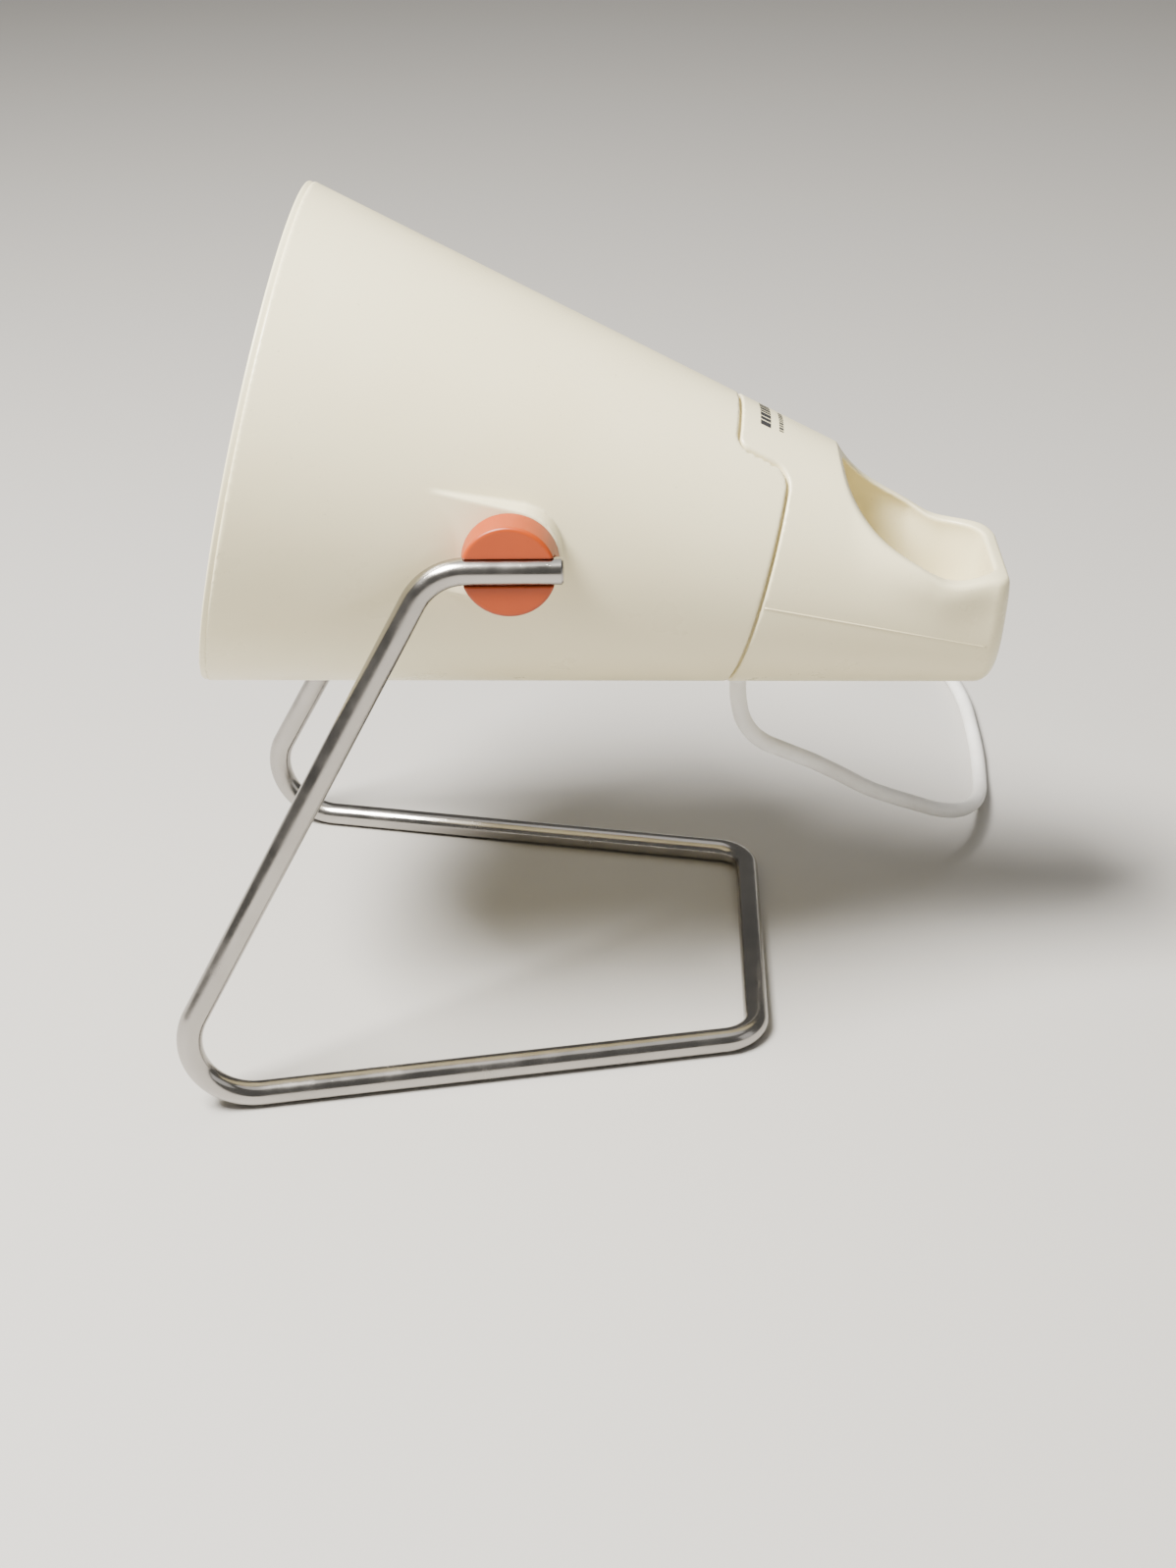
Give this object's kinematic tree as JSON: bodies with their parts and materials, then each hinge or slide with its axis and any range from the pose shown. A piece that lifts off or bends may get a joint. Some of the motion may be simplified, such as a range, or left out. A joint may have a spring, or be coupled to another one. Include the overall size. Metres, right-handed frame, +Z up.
{
  "type": "infrared heat lamp",
  "caption": "Infrared heat lamp: a cream conical shade with a scooped hand grip, tilting between two orange discs on a bent steel rod stand, with a mains cord and plug",
  "frame": {"origin": "Centre of the footprint box of the lamp without its cord, on the table", "axes": "+Z up, -X the way the shade points, Y along the tilting axis; the lamp is symmetric about y = 0"},
  "size_m": [0.2426, 0.3627, 0.2311],
  "materials": {
    "cream_plastic": "satin-gloss moulded cream plastic, slightly yellowed",
    "orange_plastic": "smooth glossy orange-red plastic",
    "rod_steel": "nickel-plated steel rod with faint drawing lines",
    "zinc_steel": "zinc-plated steel",
    "brass": "bare brass",
    "porcelain": "glazed white porcelain",
    "mirrored_glass": "aluminised reflector glass",
    "red_glass": "deep red infrared filter glass",
    "dark_insulation": "dark insulating material",
    "tungsten": "tungsten and molybdenum wire",
    "brown_wire": "brown insulated wire",
    "blue_wire": "blue insulated wire",
    "pale_plastic": "satin off-white plastic",
    "cord_plastic": "satin off-white flexible sheath",
    "pin_metal": "nickel-plated brass plug pins"
  },
  "bodies": {
    "stand": {"stand_rod": "rod_steel", "pivot_disc_left": "orange_plastic", "pivot_disc_right": "orange_plastic", "pivot_screws": "zinc_steel", "pivot_washers": "zinc_steel", "friction_washers": "zinc_steel", "mains_cord": "cord_plastic", "cord_coil": "cord_plastic", "cord_tie": "dark_insulation", "plug_body": "pale_plastic", "plug_sleeve": "pale_plastic", "plug_pins": "pin_metal"},
    "head": {"shade": "cream_plastic", "rear_housing": "cream_plastic", "holder_bracket": "zinc_steel", "housing_screws": "zinc_steel", "lampholder_body": "porcelain", "lampholder_shell": "brass", "centre_contact": "brass", "holder_screws": "zinc_steel", "terminal_screws": "brass", "bulb_reflector": "mirrored_glass", "bulb_lens": "red_glass", "bulb_cap": "brass", "bulb_tip": "dark_insulation", "filament": "tungsten", "live_wire": "brown_wire", "neutral_wire": "blue_wire", "cord_clamp": "pale_plastic", "clamp_screws": "zinc_steel", "cord_end": "cord_plastic", "strain_relief": "cord_plastic"}
  },
  "joints": [
    {"name": "head_tilt", "type": "hinge", "parent": "stand", "child": "head", "pos_m": [-0.01887, 0, 0.151], "axis": [0, 1, 0], "range_deg": [-44, 75], "deforming": ["mains_cord"]}
  ]
}
